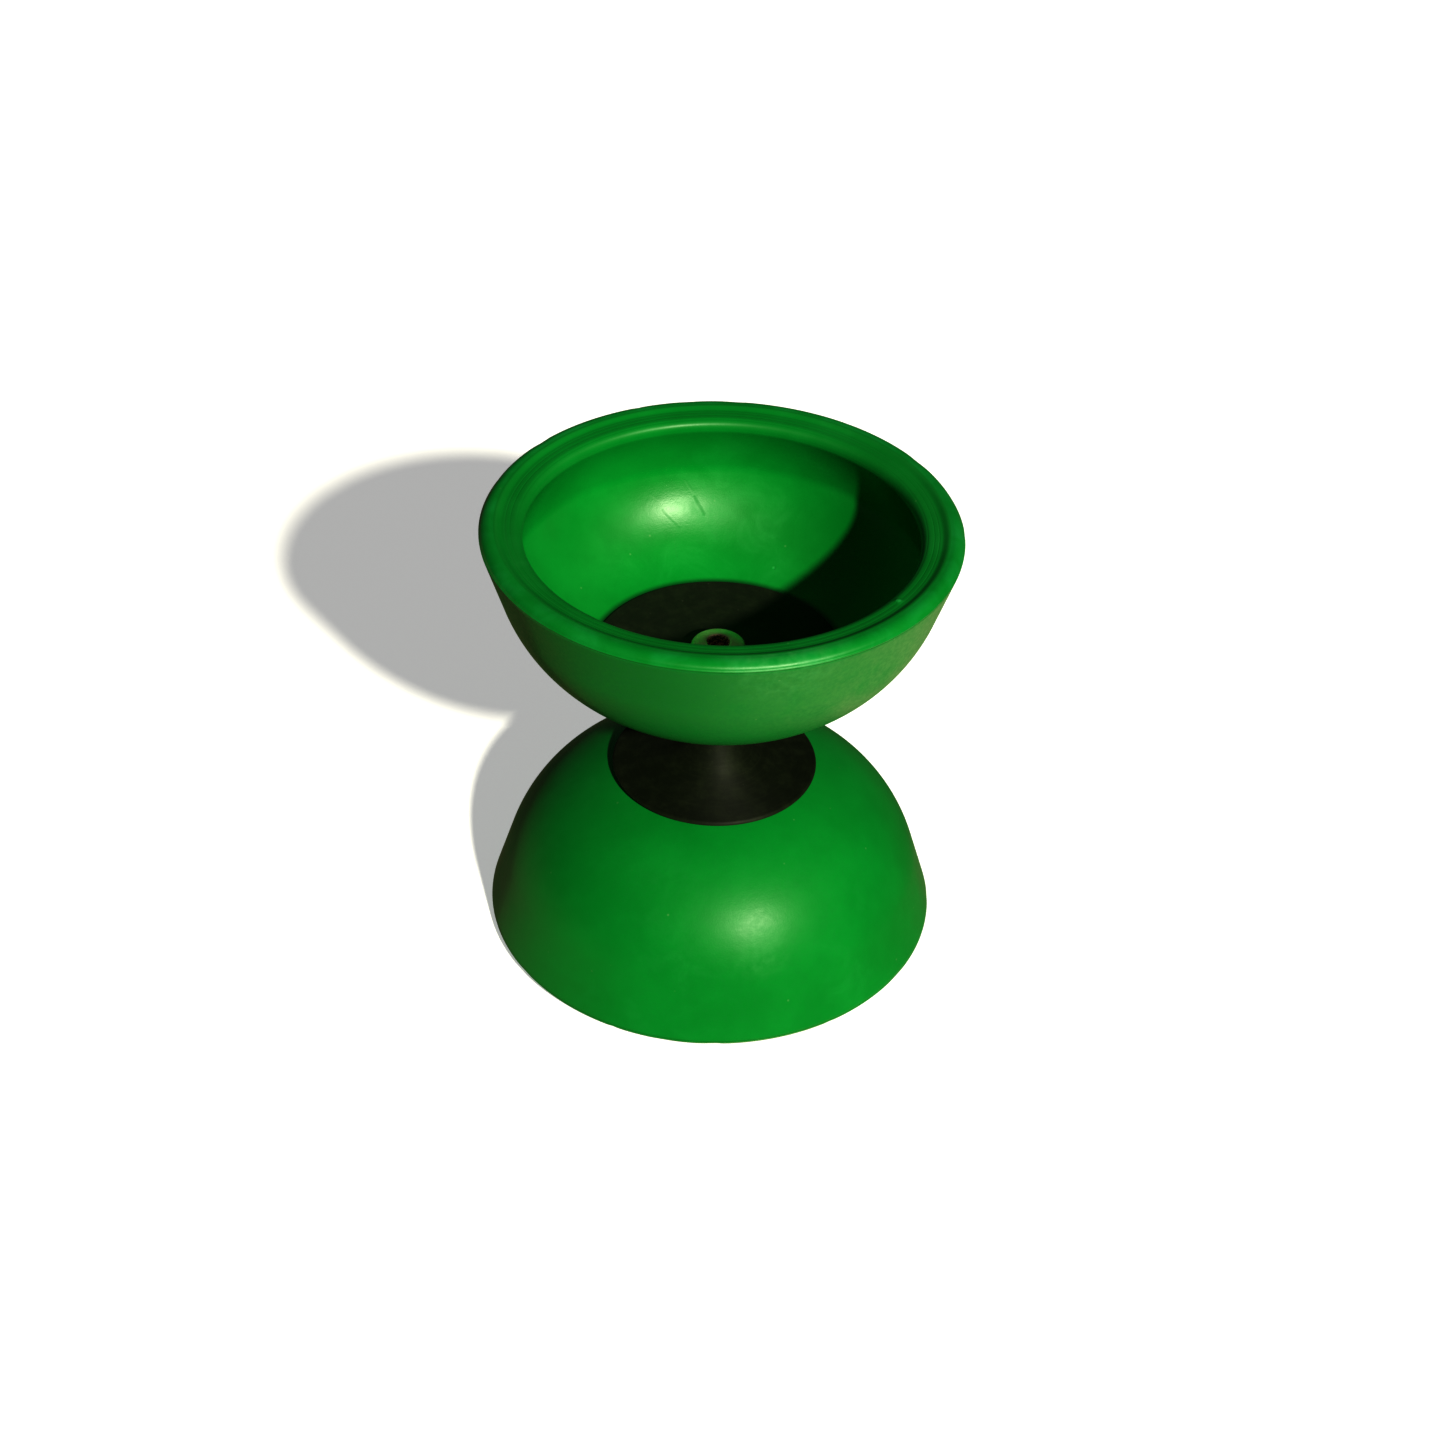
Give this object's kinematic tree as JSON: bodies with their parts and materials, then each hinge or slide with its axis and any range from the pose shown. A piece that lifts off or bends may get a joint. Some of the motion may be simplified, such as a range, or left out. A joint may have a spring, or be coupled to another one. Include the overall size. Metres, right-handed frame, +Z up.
{
  "type": "diabolo",
  "caption": "Diabolo: flared soft cups joined base to base on a grooved steel axle, with black trumpet hubs, clamping discs and socket screws, spun on a string.",
  "frame": {"origin": "centre of the ring that the lower cup's rim rests on", "axes": "+Z up along the axle, through both cups; the object looks the same from every side"},
  "size_m": [0.118, 0.118, 0.1205],
  "materials": {
    "green_rubber": "satin moulded, lightly scuffed",
    "black_plastic": "satin black",
    "black_disc_plastic": "satin black, dusty",
    "washer_steel": "dull plated",
    "screw_steel": "dull plated, rusty in the socket",
    "axle_steel": "turned, polished by the string"
  },
  "bodies": {
    "root": {"axle": "axle_steel", "upper_cup": "green_rubber", "lower_cup": "green_rubber", "upper_hub": "black_plastic", "lower_hub": "black_plastic", "upper_clamp_disc": "black_disc_plastic", "lower_clamp_disc": "black_disc_plastic", "upper_washer": "washer_steel", "lower_washer": "washer_steel", "upper_screw": "screw_steel", "lower_screw": "screw_steel"}
  },
  "joints": []
}
